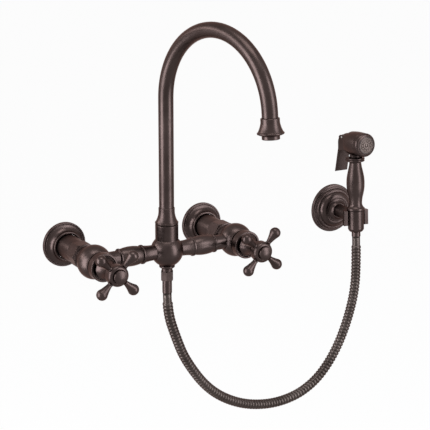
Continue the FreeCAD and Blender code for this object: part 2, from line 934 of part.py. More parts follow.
def spout_tube():
    """One bent tube: a riser, an arch of nearly half a turn and a short straight tail."""
    body = new_body("spout_tube")
    path = new_sketch(body, "Path", "XZ_Plane")
    reach, base, foot = s.arch_radius, s.arch_base, s.tube_foot
    lean = 180 - s.arch_angle
    end_x = reach + reach * cosine(lean)
    end_z = base + reach * sine(lean)
    tip_x = end_x + s.tube_tail * sine(lean)
    tip_z = end_z - s.tube_tail * cosine(lean)
    start = flat_point((0, foot))
    bend = flat_point((0, base))
    finish = flat_point((end_x, end_z))
    tip = flat_point((tip_x, tip_z))
    path.addGeometry(Part.LineSegment(start, bend))
    centre = flat_point((reach, base))
    circle = Part.Circle(centre, Z_AXIS, reach.value)
    path.addGeometry(Part.ArcOfCircle(circle, math.radians(lean.value), math.pi))
    path.addGeometry(Part.LineSegment(finish, tip))
    path.addConstraint(Sketcher.Constraint("Coincident", 0, 2, 1, 2))
    path.addConstraint(Sketcher.Constraint("Coincident", 1, 1, 2, 1))
    fix_point(path, 0, 1, (0, foot))
    fix_point(path, 0, 2, (0, base))
    fix_point(path, 1, 1, (end_x, end_z))
    constrain(path, Sketcher.Constraint("Radius", 1, reach.value), reach)
    fix_point(path, 2, 2, (tip_x, tip_z))
    ring = new_sketch(body, "Section", "XY_Plane", out=foot)
    draw_circle(ring, 0, 0, s.tube_radius)
    draw_circle(ring, 0, 0, s.tube_radius - s.tube_wall)
    doc.recompute()
    pipe = body.newObject("PartDesign::AdditivePipe", "Bend")
    pipe.Profile = ring
    pipe.Spine = (path, ["Edge1", "Edge2", "Edge3"])
    doc.recompute()
    length = base.value - foot.value + reach.value * math.radians(s.arch_angle.value)
    length += s.tube_tail.value
    inner = s.tube_radius.value - s.tube_wall.value
    expected = math.pi * (s.tube_radius.value**2 - inner**2) * length
    if abs(body.Shape.Volume / expected - 1) > 0.01:
        raise ValueError("the spout's tube is not its section times its length")
    place(body, (0, -s.bridge_reach, 0), SWING)
    return body


def spout_spigot():
    """The tube's brass foot, with two grooves for its sealing rings."""
    outer = s.tube_radius
    inner = outer - s.tube_wall - s.fit_gap
    groove = outer - 2 * s.ring_section
    low = s.swivel_floor + 0.6
    wide = 2 * s.ring_section + 0.4
    first = low + 2
    second = first + wide + 2
    body = turned("spout_spigot", [
        (inner - 2, low),
        (outer - 0.4, low),
        (outer, low + 0.4),
        (outer, first),
        (groove, first),
        (groove, first + wide),
        (outer, first + wide),
        (outer, second),
        (groove, second),
        (groove, second + wide),
        (outer, second + wide),
        (outer, s.tube_foot),
        (inner, s.tube_foot),
        (inner, s.tube_foot + 12),
        (inner - 2, s.tube_foot + 12),
    ])
    place(body, (0, -s.bridge_reach, 0), SWING)
    return body


def spout_rings():
    """Two rubber rings in the spigot's grooves."""
    wide = 2 * s.ring_section + 0.4
    first = s.swivel_floor + 2.6 + wide / 2
    rings = []
    for number, height in enumerate((first, first + wide + 2)):
        ring = doc.addObject("Part::Torus", "SealRing%d" % number)
        bind(ring, "Radius1", s.tube_radius - s.ring_section)
        bind(ring, "Radius2", s.ring_section)
        place(ring, (0, -s.bridge_reach, height))
        rings.append(ring)
    pair = doc.addObject("Part::Fuse", "spout_seal_rings")
    pair.Label = "spout_seal_rings"
    pair.Base, pair.Tool = rings
    return pair


def spout_keeper():
    """The ring on the tube that the collar holds down."""
    inner = s.tube_radius + s.fit_gap
    body = turned("spout_keeper_ring", [
        (inner, keeper_bottom),
        (s.keeper_radius, keeper_bottom),
        (s.keeper_radius, keeper_top),
        (inner, keeper_top),
    ])
    place(body, (0, -s.bridge_reach, 0), SWING)
    return body


def outlet_place(thing):
    """Puts a piece on the arch's end, its Z axis along the way the water leaves."""
    lean = 180 - s.arch_angle
    across = s.arch_radius + s.arch_radius * cosine(lean)
    up = s.arch_base + s.arch_radius * sine(lean)
    turn = SWING.multiply(FreeCAD.Rotation(Y_AXIS, 180 - lean.value))
    spot = (
        across * sine(s.spout_swing),
        -s.bridge_reach - across * cosine(s.spout_swing),
        up,
    )
    place(thing, spot, turn)
    return thing


def spout_bell():
    """The flared outlet: a straight neck, a trumpet flare and a beaded rim."""
    neck, rim, start = s.bell_neck, s.bell_rim, s.bell_start
    end = start + s.bell_length
    fit = s.tube_radius + s.fit_gap
    stop = s.tube_radius - s.tube_wall
    return outlet_place(turned("spout_bell", [
        (fit, start),
        (neck - 0.4, start),
        (neck, start + 0.5),
        (neck, start + s.bell_length * 0.26),
        bowed(rim - 1.0, end - 3.9, -0.5),
        bowed(rim - 0.9, end - 1.2, 1.05),
        bowed(rim - 4.6, end, 0.2),
        (s.bell_thread, end),
        (s.bell_thread, s.tube_tail + 1.5),
        (stop, s.tube_tail + 1.5),
        (stop, s.tube_tail),
        (fit, s.tube_tail),
    ]))


def aerator_housing():
    end = s.bell_start + s.bell_length
    outer = s.aerator_radius
    lip = end + s.loose_gap + s.aerator_show
    low = s.tube_tail + 1.8
    return outlet_place(turned("aerator_housing", [
        (s.aerator_bore, low),
        (s.bell_thread - 0.1, low),
        (s.bell_thread - 0.1, end + s.loose_gap),
        (outer, end + s.loose_gap),
        (outer, lip - 0.5),
        (outer - 0.5, lip),
        (s.aerator_bore - 0.6, lip),
        (s.aerator_bore - 0.6, lip - 1.2),
        (s.aerator_bore, lip - 1.2),
    ]))


def aerator_insert():
    """The mesh cartridge of the aerator, a cup with a ring of slots round its waist."""
    lip = s.bell_start + s.bell_length + s.loose_gap + s.aerator_show - 1.2
    outer = s.aerator_bore - s.fit_gap
    return outlet_place(turned("aerator_insert", [
        (0, lip - 1.6),
        (outer - 1.6, lip - 1.6),
        (outer - 1.6, lip - 6.4),
        (outer, lip - 6.4),
        (outer, lip - 4.6),
        (outer - 0.8, lip - 4.6),
        (outer - 0.8, lip - 2.2),
        (outer, lip - 2.2),
        (outer, lip),
        (0, lip),
    ]))


# ---------------------------------------------------------------- hose ends under the bridge


def hose_nut():
    tip = s.hose_nut_flats / math.sqrt(3)
    thread = s.foot_thread + 0.2
    neck = s.ferrule_neck + s.loose_gap
    body = turned("hose_nut", [
        (neck, -hose_nut_bottom),
        (tip - 0.8, -hose_nut_bottom),
        (tip, -hose_nut_bottom + 0.6),
        (tip, -hose_nut_top - 0.6),
        (tip - 0.8, -hose_nut_top),
        (thread, -hose_nut_top),
        (thread, -top_flange_end - s.loose_gap),
        (neck, -top_flange_end - s.loose_gap),
    ])
    doc.recompute()
    cut_hexagon(body, s.hose_nut_flats, -hose_nut_bottom - 1, -hose_nut_top + 1)
    place(body, (0, -s.bridge_reach, 0))
    return body


def hose_washer():
    body = turned("hose_washer", [
        (s.hose_water, -hose_washer_end),
        (s.ferrule_flange - 0.1, -hose_washer_end),
        (s.ferrule_flange - 0.1, -foot_thread_end),
        (s.hose_water, -foot_thread_end),
    ])
    place(body, (0, -s.bridge_reach, 0))
    return body


def hose_ferrule_top():
    """The smooth sleeve crimped on the hose, with the flange that the nut holds."""
    body = turned("hose_ferrule_top", [
        (s.hose_water, -ferrule_top_end),
        (s.ferrule_radius, -ferrule_top_end),
        (s.ferrule_radius, -hose_nut_bottom - s.loose_gap),
        (s.ferrule_neck, -hose_nut_bottom - s.loose_gap),
        (s.ferrule_neck, -top_flange_end),
        (s.ferrule_flange, -top_flange_end),
        (s.ferrule_flange, -hose_washer_end),
        (s.hose_water, -hose_washer_end),
    ])
    place(body, (0, -s.bridge_reach, 0))
    return body


# ---------------------------------------------------------------- hand spray


def spray_place(thing):
    place(thing, (s.bracket_place, -s.spray_reach, 0), LEAN)
    return thing


def spray_nut():
    """The cone nut below the grip; it is what the fork holds."""
    wide, mouth = s.nut_radius, s.nut_mouth
    neck = s.ferrule_neck + s.loose_gap
    bore = s.grip_thread + 0.15
    shelf = s.nut_bottom + s.nut_cone
    return spray_place(turned("spray_nut", [
        (neck, s.nut_bottom),
        (mouth, s.nut_bottom),
        bowed(wide, shelf, 0.4),
        (wide, fork_top - 0.6),
        (wide - 0.6, fork_top),
        (bore, fork_top),
        (bore, shelf - 0.4),
        (neck, shelf - 0.4),
    ]))


def hose_ferrule_spray():
    flange = s.nut_bottom + s.nut_cone - 0.4 + s.loose_gap
    return spray_place(turned("hose_ferrule_spray", [
        (s.hose_water, ferrule_spray_end),
        (s.ferrule_radius, ferrule_spray_end),
        (s.ferrule_radius, s.nut_bottom - s.loose_gap),
        (s.ferrule_neck, s.nut_bottom - s.loose_gap),
        (s.ferrule_neck, flange),
        (s.grip_thread - 0.1, flange),
        (s.grip_thread - 0.1, flange + 3),
        (s.hose_water, flange + 3),
    ]))


def spray_washer():
    low = s.nut_bottom + s.nut_cone - 0.4 + s.loose_gap + 3
    return spray_place(turned("spray_washer", [
        (s.hose_water, low),
        (s.grip_thread - 0.1, low),
        (s.grip_thread - 0.1, low + s.hose_washer),
        (s.hose_water, low + s.hose_washer),
    ]))


def spray_grip():
    """The baluster handle: a collar, a waist, a belly, a slim neck and a double ring."""
    low = s.nut_bottom + s.nut_cone - 0.4 + s.loose_gap + 3 + s.hose_washer
    seat, top = s.grip_seat, s.grip_top
    long = top - seat
    collar, waist, belly, neck = s.grip_collar, s.grip_waist, s.grip_belly, s.grip_neck
    middle = (waist + belly) / 2
    lip = collar
    return spray_place(turned("spray_grip", [
        (s.grip_bore, low),
        (s.grip_thread, low),
        (s.grip_thread, seat),
        (collar - 0.6, seat),
        bowed(collar, seat + 0.8, 0.2),
        (collar, seat + 2.8),
        bowed(collar - 1, seat + 4, 0.3),
        bowed(waist, seat + long * 0.155, -0.9),
        bowed(middle + 0.2, seat + long * 0.32, -0.35),
        bowed(belly, seat + long * 0.49, 0.35),
        bowed(belly - 0.9, seat + long * 0.665, 0.35),
        bowed(neck + 0.7, seat + long * 0.83, 0.1),
        bowed(neck, seat + long * 0.9, -0.05),
        bowed(lip - 1.5, top - 4.0, -1.0),
        bowed(lip - 1.5, top - 1.8, 0.75),
        bowed(lip - 0.9, top + 0.2, 0.85),
        bowed(s.head_neck + 0.2, top - 2, -0.5),
        (s.head_neck - 1.8, top - 2),
        (s.head_neck - 1.8, top - 8),
        (s.grip_bore, top - 8),
    ]))


def spray_head():
    """The spray's head: a barrel across the top of a short neck, with a flatted hub behind."""
    body = new_body("spray_head")
    neck, axis, wide = s.head_neck, s.head_axis, s.head_radius
    top = s.grip_top
    revolve(body, "Neck", [
        (s.grip_bore, top - 8),
        (neck - 1.9, top - 8),
        (neck - 1.9, top - 1.7),
        (neck, top - 1.7),
        (neck, top + 1),
        bowed(neck + 1.2, top + 7, -0.3),
        (neck + 1.2, axis - 11),
        (s.grip_bore, axis - 11),
    ])
    flip = FreeCAD.Rotation(Y_AXIS, 180)
    sketch = new_sketch(body, "BarrelOutline", "YZ_Plane", up=axis, turn=flip)
    front, back, hub = s.head_front, s.head_back, s.hub_radius
    face = s.face_radius + s.fit_gap
    bore = s.plunger_radius + s.run_gap
    grooved = wide - 0.6
    inside = [
        (-back, bore),
        (-1.8, bore),
        (-1.8, s.head_chamber),
        (front - s.face_depth, s.head_chamber),
        (front - s.face_depth, face),
        (front, face),
    ]
    outside = [
        bowed(front - 0.9, face + 1.7, 0.3),
        bowed(front - 5.4, grooved - 0.1, 1.2),
        (front - 5.9, grooved - 0.1),
        (front - 6.4, grooved - 0.7),
        (front - 6.9, grooved),
        (front - 8.9, grooved),
        (front - 9.4, grooved - 0.6),
        (front - 9.9, grooved + 0.05),
        bowed(-6, wide - 1.0, 0.55),
        bowed(-7.2, wide - 2.4, 0.5),
        (-7.2, hub),
        (-back + 2.4, hub),
        (-back, hub - 2.6),
    ]
    draw(sketch, inside + outside)
    barrel = body.newObject("PartDesign::Revolution", "Barrel")
    barrel.Profile = sketch
    barrel.ReferenceAxis = (sketch, ["H_Axis"])
    barrel.Angle = 360
    doc.recompute()
    drill(body, "NeckBore", "XY_Plane", s.grip_top - 8, [(0, 0, s.grip_bore)],
          axis - s.head_chamber - s.grip_top + 8 + 2)
    before = body.Shape.Volume
    flat = s.lever_width / 2 - s.cheek_sheet - s.loose_gap * 2
    cheeks = new_sketch(body, "CheekFlats", "XZ_Plane", out=-s.head_back - 1)
    low = axis - hub - 4
    high = axis + hub + 4
    for sign in (1, -1):
        near = flat * sign
        far = (flat + 8) * sign
        if sign > 0:
            draw(cheeks, [(near, low), (far, low), (far, high), (near, high)])
        else:
            draw(cheeks, [(far, low), (near, low), (near, high), (far, high)])
    pocket(body, "CheekFlat", cheeks, s.head_back + 1 - 7.2, False, before)
    pin = [(s.pin_setback, axis + s.pin_rise, s.pin_radius + s.fit_gap)]
    drill(body, "PinHole", "YZ_Plane", 0, pin, s.lever_width * 2, True)
    return spray_place(body)


def spray_face():
    """The outlet plate: a boss, two raised rings and a circle of jets between them."""
    body = new_body("spray_face")
    flip = FreeCAD.Rotation(Y_AXIS, 180)
    sketch = new_sketch(body, "FaceOutline", "YZ_Plane", up=s.head_axis, turn=flip)
    wide, back = s.face_radius, s.head_front - s.face_depth
    front = s.head_front
    draw(sketch, [
        (back, 0),
        (front + 0.4, 0),
        bowed(front - 0.6, wide * 0.26, 0.25),
        (front - 0.6, wide * 0.38),
        bowed(front - 0.6, wide * 0.52, 0.65),
        (front - 0.6, wide * 0.64),
        bowed(front - 0.6, wide * 0.78, 0.65),
        (front - 0.6, wide * 0.88),
        (front + 0.2, wide - 0.9),
        bowed(front - 0.4, wide, 0.25),
        (back, wide),
    ])
    plate = body.newObject("PartDesign::Revolution", "Plate")
    plate.Profile = sketch
    plate.ReferenceAxis = (sketch, ["H_Axis"])
    plate.Angle = 360
    doc.recompute()
    spots = []
    for step in range(10):
        angle = math.radians(36 * step + 18)
        across = s.jet_circle * round(math.cos(angle), 9)
        up = s.head_axis + s.jet_circle * round(math.sin(angle), 9)
        spots.append((across, up, s.jet_radius))
    drill(body, "Jets", "XZ_Plane", back - 1, spots, s.face_depth + 3)
    return spray_place(body)


def lever_profile():
    """The bent strip seen from the side: (setback, height) corners."""
    gap = s.head_back + s.lever_gap
    thick = s.lever_sheet
    top = s.head_axis + s.lever_width / 2
    drop = s.lever_bend - s.lever_foot
    splay = drop * sine(s.lever_splay) / cosine(s.lever_splay)
    return [
        (gap, s.lever_bend),
        (gap + splay, s.lever_foot + 0.6),
        (gap + splay + thick, s.lever_foot),
        (gap + thick, s.lever_bend),
        (gap + thick, top),
        (gap, top),
    ]


def spray_lever():
    """The thumb lever: a bent strip with a round head and two cheeks on a cross pin."""
    body = new_body("spray_lever")
    side = new_sketch(body, "StripOutline", "YZ_Plane")
    draw(side, lever_profile())
    strip = body.newObject("PartDesign::Pad", "Strip")
    strip.Profile = side
    bind(strip, "Length", s.lever_width)
    strip.Midplane = True
    doc.recompute()
    half = s.lever_width / 2
    gap = s.head_back + s.lever_gap
    # the round head: what lies above its half circle is cut away
    before = body.Shape.Volume
    crown = new_sketch(body, "CrownOutline", "XZ_Plane", out=-s.head_back - s.lever_gap - 20)
    axis = s.head_axis
    diagonal = half * math.sqrt(0.5)
    eighth = half * (1 - math.cos(math.pi / 8))
    draw(crown, [
        bowed(half, axis, -eighth),
        (half + 3, axis),
        (half + 3, axis + half + 3),
        (-half - 3, axis + half + 3),
        (-half - 3, axis),
        (-half, axis),
        bowed(-diagonal, axis + diagonal, -eighth),
        bowed(0, axis + half, -eighth),
        bowed(diagonal, axis + diagonal, -eighth),
    ])
    pocket(body, "Crown", crown, s.head_back + 40, False, before)
    # cheeks: two tall plates that reach forward over the hub and take the pin
    pin_y = s.pin_setback
    pin_z = s.head_axis + s.pin_rise
    front = pin_y - 9.4
    for name, inner in (("Right", half - s.cheek_sheet), ("Left", -half)):
        before = body.Shape.Volume
        cheek = new_sketch(body, name + "CheekOutline", "YZ_Plane", out=inner)
        draw(cheek, [
            bowed(front, axis - 3, 0.6),
            bowed(front + 3, axis - 9.5, 0.5),
            (gap + 0.6, axis - 12.5),
            (gap + 0.6, pin_z),
            bowed(gap - 2.4, axis + 10.2, 0.3),
            bowed(front + 3.4, axis + 10.4, 0.2),
            bowed(front, axis + 6, 0.7),
        ])
        pad = body.newObject("PartDesign::Pad", name + "Cheek")
        pad.Profile = cheek
        bind(pad, "Length", s.cheek_sheet)
        check_change(body, before, True)
    pin = [(pin_y, pin_z, s.pin_radius + s.run_gap)]
    drill(body, "PinHoles", "YZ_Plane", 0, pin, s.lever_width * 2, True)
    return spray_place(body)


def lever_pin():
    body = new_body("lever_pin")
    sketch = new_sketch(body, "PinCircle", "YZ_Plane")
    draw_circle(sketch, s.pin_setback, s.head_axis + s.pin_rise, s.pin_radius)
    pad = body.newObject("PartDesign::Pad", "Pin")
    pad.Profile = sketch
    bind(pad, "Length", s.lever_width - 0.2)
    pad.Midplane = True
    return spray_place(body)


def spray_plunger():
    """The push rod between the lever and the valve inside the head."""
    body = new_body("spray_plunger")
    flip = FreeCAD.Rotation(Y_AXIS, 180)
    sketch = new_sketch(body, "RodOutline", "YZ_Plane", up=s.head_axis, turn=flip)
    rod, disc = s.plunger_radius, s.plunger_disc
    tip = -s.head_back - s.lever_gap + s.loose_gap
    draw(sketch, [
        (tip, 0),
        (1.6, 0),
        (1.6, disc),
        (-1.5, disc),
        (-1.5, rod),
        (tip + 0.9, rod),
        bowed(tip, rod - 1, 0.3),
    ])
    feature = body.newObject("PartDesign::Revolution", "Rod")
    feature.Profile = sketch
    feature.ReferenceAxis = (sketch, ["H_Axis"])
    feature.Angle = 360
    return spray_place(body)


# ---------------------------------------------------------------- wall bracket


def wall_plate():
    """The hidden disc screwed to the wall, with a boss that the post screws into."""
    thick, high = s.plate_thickness, s.plate_boss_height
    thread = s.post_thread + s.fit_gap
    body = turned("wall_plate", [
        (thread, 0),
        (s.plate_radius, 0),
        (s.plate_radius, thick),
        (s.plate_boss, thick),
        (s.plate_boss, high),
        (thread, high),
    ])
    doc.recompute()
    hole = s.plate_hole
    spots = [(0, s.plate_hole_place, hole), (0, -s.plate_hole_place, hole)]
    drill(body, "ScrewHoles", "XY_Plane", -1, spots, s.plate_boss_height)
    place(body, (s.bracket_place, 0, s.bracket_level), OUT)
    return body


def plate_screws():
    """Two countersunk-style screw heads with their shanks' first turns in the plate."""
    body = new_body("plate_screws")
    body.AllowCompound = True
    sketch = new_sketch(body, "ScrewOutline", "XZ_Plane")
    hole = s.plate_hole - 0.1
    far = s.plate_hole_place
    draw(sketch, [
        (far, 0.2),
        (far + hole, 0.2),
        (far + hole, s.plate_thickness),
        (far + hole + 1.8, s.plate_thickness),
        (far + hole + 1.8, s.plate_thickness + 0.8),
        domed(far, s.plate_thickness + 1.7),
    ])
    line = sketch.addGeometry(
        Part.LineSegment(flat_point((far, 0)), flat_point((far, 10))), True
    )
    fix_point(sketch, line, 1, (far, 0))
    fix_point(sketch, line, 2, (far, 10))
    screw = body.newObject("PartDesign::Revolution", "Screw")
    screw.Profile = sketch
    screw.ReferenceAxis = (sketch, ["Axis0"])
    screw.Angle = 360
    doc.recompute()
    pattern_round(body, screw, 2)
    quarter = FreeCAD.Rotation(Z_AXIS, 90)
    place(body, (s.bracket_place, 0, s.bracket_level), OUT.multiply(quarter))
    return body


def bracket_flange():
    """The stepped cover over the plate: rim, bead, dome and a hollow neck round the post."""
    rim, step, dome = s.flange_radius, s.flange_step, s.flange_dome
    top = s.flange_height
    post = s.post_radius + 0.2
    body = turned("bracket_flange", [
        (rim - 2.6, 0),
        (rim, 0),
        (rim, 2.8),
        bowed(rim - 1.4, 4.2, 0.4),
        (rim - 3.4, 4.4),
        bowed(step + 2.6, 5.4, 0.3),
        bowed(step + 0.5, 6.2, -0.3),
        bowed(step - 0.6, 8.8, 0.5),
        bowed(dome + 0.4, 9.2, -0.2),
        (dome, 10.4),
        bowed(17.2, top - 5, 1.5),
        (16.8, top - 5.4),
        (16.2, top - 4.8),
        bowed(11.6, top - 2.2, -0.7),
        (post + 1.2, top),
        (post, top),
        (post, top - 7.2),
        (14.2, top - 7.2),
        bowed(dome - 2.2, 7.8, -1.2),
        (step - 2.6, 6.6),
        (step - 2.6, 2.6),
        (rim - 2.6, 2.2),
    ])
    place(body, (s.bracket_place, 0, s.bracket_level), OUT)
    return body


def bracket_post():
    """The arm that carries the fork, screwed into the plate."""
    end = s.spray_reach - s.fork_radius + s.post_bite
    thread, wide = s.post_thread, s.post_radius
    shoulder = s.plate_boss_height
    body = turned("bracket_post", [
        (0, s.plate_thickness),
        (thread, s.plate_thickness),
        (thread, shoulder),
        (wide, shoulder),
        (wide, end),
        (0, end),
    ])
    place(body, (s.bracket_place, 0, s.bracket_level), OUT)
    return body


def fork_blank():
    """The cradle: a thick C whose mouth opens to the room, turned a little to the left."""
    body = new_body("ForkBlank")
    sketch = new_sketch(body, "ForkOutline", "XY_Plane", out=fork_top - s.fork_height)
    outer, inner, prong = s.fork_radius, fork_bore, s.fork_prong
    soft = 1.2
    eighth = 1 - math.cos(math.pi / 8)
    slant = math.sqrt(0.5)
    draw(sketch, [
        bowed(-outer, 0, outer * eighth),
        (-outer, -prong + soft),
        bowed(-outer + soft, -prong, soft * QUARTER),
        (-inner - soft, -prong),
        bowed(-inner, -prong + soft, soft * QUARTER),
        (-inner, 0),
        bowed(-inner * slant, inner * slant, -inner * eighth),
        bowed(0, inner, -inner * eighth),
        bowed(inner * slant, inner * slant, -inner * eighth),
        bowed(inner, 0, -inner * eighth),
        (inner, -prong + soft),
        bowed(inner + soft, -prong, soft * QUARTER),
        (outer - soft, -prong),
        bowed(outer, -prong + soft, soft * QUARTER),
        (outer, 0),
        bowed(outer * slant, outer * slant, outer * eighth),
        bowed(0, outer, outer * eighth),
        bowed(-outer * slant, outer * slant, outer * eighth),
    ])
    pad = body.newObject("PartDesign::Pad", "Fork")
    pad.Profile = sketch
    bind(pad, "Length", s.fork_height)
    turned_left = LEAN.multiply(FreeCAD.Rotation(Z_AXIS, -s.fork_turn.value))
    place(body, (s.bracket_place, -s.spray_reach, 0), turned_left)
    return body


def bracket_fork():
    """The cradle with the socket for its post."""
    blank = fork_blank()
    end = s.spray_reach - s.fork_radius + s.post_bite + s.fit_gap
    socket = doc.addObject("Part::Cylinder", "PostSocket")
    bind(socket, "Radius", s.post_radius + s.fit_gap)
    bind(socket, "Height", end)
    place(socket, (s.bracket_place, 0, s.bracket_level), OUT)
    fork = doc.addObject("Part::Cut", "bracket_fork")
    fork.Label = "bracket_fork"
    fork.Base = blank
    fork.Tool = socket
    return fork


# ---------------------------------------------------------------- the ribbed hose

# The hose hangs from the bridge to the spray in one long loop. Its route is given across, from
# the bridge's outlet towards the bracket, and up; the far end swings out to meet the spray's axis.
ROUTE = (
    (13.0, -120.0),
    (28.0, -155.4),
    (64.3, -204.6),
    (111.6, -235.6),
    (162.8, -250.0),
    (208.3, -249.6),
    (241.9, -238.0),
    (266.5, -217.8),
    (287.4, -187.8),
    (303.1, -150.3),
    (313.4, -109.2),
)


def hose_points():
    """The corners of the route, from one ferrule to the other."""
    start = FreeCAD.Vector(0, -s.bridge_reach.value, -ferrule_top_end.value)
    home = FreeCAD.Vector(s.bracket_place.value, -s.spray_reach.value, 0)
    down = LEAN.multVec(FreeCAD.Vector(0, 0, -1))
    end = home - down * ferrule_spray_end.value
    across = FreeCAD.Vector(end.x - start.x, end.y - start.y, 0)
    reach = across.Length
    across.normalize()
    points = [start, start - FreeCAD.Vector(0, 0, s.hose_drop.value)]
    for along, up in ROUTE:
        share = along / 317.7
        point = start + across * (share * reach)
        bend = max(0, share - 0.7) / 0.3
        points.append(FreeCAD.Vector(point.x, point.y - 7 * bend**2, up))
    points.append(end + down * s.hose_rise.value)
    points.append(end)
    return points


def hose_path(points):
    """Straight runs joined by tangent arcs as large as the runs allow."""
    edges = []
    radii = []
    here = points[0]
    for before, corner, after in zip(points, points[1:], points[2:]):
        back = corner - before
        ahead = after - corner
        short = min(back.Length, ahead.Length)
        back.normalize()
        ahead.normalize()
        turn = back.getAngle(ahead)
        radius = 0.45 * short / math.tan(turn / 2)
        trim = 0.45 * short
        first = corner - back * trim
        last = corner + ahead * trim
        inward = ahead - back
        inward.normalize()
        centre = corner + inward * (radius / math.cos(turn / 2))
        middle = centre - inward * radius
        edges.append(Part.LineSegment(here, first).toShape())
        edges.append(Part.Arc(first, middle, last).toShape())
        radii.append(round(radius, 1))
        here = last
    edges.append(Part.LineSegment(here, points[-1]).toShape())
    return edges, radii


def walk(edges, distance):
    """The point and direction at a distance along the edges."""
    for edge in edges:
        if distance <= edge.Length + 1e-9:
            spot = edge.getParameterByLength(min(distance, edge.Length))
            return edge.valueAt(spot), edge.tangentAt(spot)
        distance -= edge.Length
    edge = edges[-1]
    return edge.valueAt(edge.LastParameter), edge.tangentAt(edge.LastParameter)


def hose_circle(spot, along, side, radius):
    """A circle square to the hose whose seam always lies on the same side of it."""
    across = side - along * side.dot(along)
    across.normalize()
    up = along.cross(across)
    circle = Part.Circle(spot, along, radius)
    circle.XAxis = across
    return Part.Wire(circle.toShape())


def spray_hose():
    """A hose of rounded ribs: each rib is two steep flanks, a flat crest and a root."""
    points = hose_points()
    edges, radii = hose_path(points)
    total = sum(edge.Length for edge in edges)
    run = points[-1] - points[0]
    side = FreeCAD.Vector(run.x, run.y, 0).cross(Z_AXIS)
    side.normalize()
    count = int(s.hose_ribs.value)
    plain = s.hose_crest.value * 2
    pitch = (total - 2 * plain) / count
    crest, groove = s.hose_crest.value, s.hose_root.value
    stations = [(0.0, groove)]
    for rib in range(count):
        low = plain + rib * pitch
        stations.append((low, groove))
        stations.append((low + 0.2 * pitch, crest - 0.2))
        stations.append((low + 0.5 * pitch, crest))
        stations.append((low + 0.8 * pitch, crest - 0.2))
    stations.append((total - plain, groove))
    stations.append((total, groove))
    wires = []
    for distance, radius in stations:
        spot, along = walk(edges, distance)
        wires.append(hose_circle(spot, along, side, radius))
    outer = Part.makeLoft(wires, True, True)
    cores = []
    for distance, radius in stations[:1] + stations[1::2] + stations[-1:]:
        spot, along = walk(edges, distance)
        cores.append(hose_circle(spot, along, side, s.hose_bore.value))
    bore = Part.makeLoft(cores, True, True)
    hose = outer.cut(bore)
    section = 0.0
    for (a, ra), (b, rb) in zip(stations, stations[1:]):
        section += math.pi * (b - a) * (ra * ra + ra * rb + rb * rb) / 3
    expected = section - math.pi * s.hose_bore.value**2 * total
    print("hose length %.1f, rib pitch %.2f, radii %s" % (total, pitch, radii))
    print("hose volume %.0f, section times length %.0f" % (hose.Volume, expected))
    if abs(hose.Volume / expected - 1) > 0.02:
        raise ValueError("the hose is not its section times its length")
    feature = doc.addObject("Part::Feature", "spray_hose")
    feature.Label = "spray_hose"
    feature.Shape = hose
    feature.Placement = FreeCAD.Placement()
    return feature


# ---------------------------------------------------------------- assembly and files

for side_name, side_sign in (("left", -1), ("right", 1)):
    valve_side(side_name, side_sign)
    keep(bridge_arm(side_name, side_sign))
for build in (
    centre_body, diverter, spout_collar, spout_tube, spout_spigot, spout_rings, spout_keeper,
    spout_bell, aerator_housing, aerator_insert, hose_nut, hose_washer, hose_ferrule_top,
    spray_hose, hose_ferrule_spray, spray_nut, spray_washer, spray_grip, spray_head, spray_face,
    spray_lever, lever_pin, spray_plunger, wall_plate, plate_screws, bracket_flange,
    bracket_post, bracket_fork,
):
    keep(build())
doc.recompute()

for thing in doc.Objects:
    if "Invalid" in thing.State or "Error" in thing.State:
        raise ValueError("%s did not build: %s" % (thing.Label, thing.State))
for piece in PIECES:
    if piece.Shape.isNull() or not piece.Shape.isValid() or not piece.Shape.Solids:
        raise ValueError("%s has no valid solid" % piece.Label)
os.makedirs("parts", exist_ok=True)
for piece in PIECES:
    piece.Shape.exportStep("parts/%s.step" % piece.Label)
print("%d nodes, %d solids" % (len(PIECES), sum(len(p.Shape.Solids) for p in PIECES)))
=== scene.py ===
"""The looks of a two handle bridge faucet for a kitchen wall, with a hand spray on a ribbed hose."""

import bpy
import bmesh
import json
import math
import numpy as np
from mathutils import Matrix, Vector


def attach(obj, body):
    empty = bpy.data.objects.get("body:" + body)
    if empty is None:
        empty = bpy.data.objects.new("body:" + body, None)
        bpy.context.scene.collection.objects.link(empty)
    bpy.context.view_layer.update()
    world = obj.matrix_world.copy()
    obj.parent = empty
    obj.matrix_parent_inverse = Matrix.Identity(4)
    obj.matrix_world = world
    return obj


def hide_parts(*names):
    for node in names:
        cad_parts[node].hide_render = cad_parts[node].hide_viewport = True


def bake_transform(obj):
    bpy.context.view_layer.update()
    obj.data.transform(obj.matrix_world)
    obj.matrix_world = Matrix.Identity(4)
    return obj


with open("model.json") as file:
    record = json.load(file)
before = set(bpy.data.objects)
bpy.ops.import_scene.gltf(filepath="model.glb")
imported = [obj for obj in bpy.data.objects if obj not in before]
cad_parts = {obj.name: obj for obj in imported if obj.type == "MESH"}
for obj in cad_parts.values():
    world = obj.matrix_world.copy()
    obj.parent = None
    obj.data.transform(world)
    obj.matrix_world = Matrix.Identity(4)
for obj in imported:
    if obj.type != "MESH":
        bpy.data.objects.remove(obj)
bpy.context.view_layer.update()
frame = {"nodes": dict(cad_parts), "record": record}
bpy.context.scene.view_settings.view_transform = "Standard"


# ---------------------------------------------------------------- camera

# The photograph's own place and lens, as fitted to the outlines in it. The place is in metres
# from the origin, along the camera's own directions.
AZIMUTH = math.radians(-29.99921625)
ELEVATION = math.radians(15.01075243)
ROLL = math.radians(0.1103677)
TO_THE_RIGHT, UPWARD, BACKWARD = 0.10732008, 0.02438549, 1.86994374
FOCAL_PIXELS, PICTURE_PIXELS = 1410.84, 430
SENSOR_WIDTH = 36


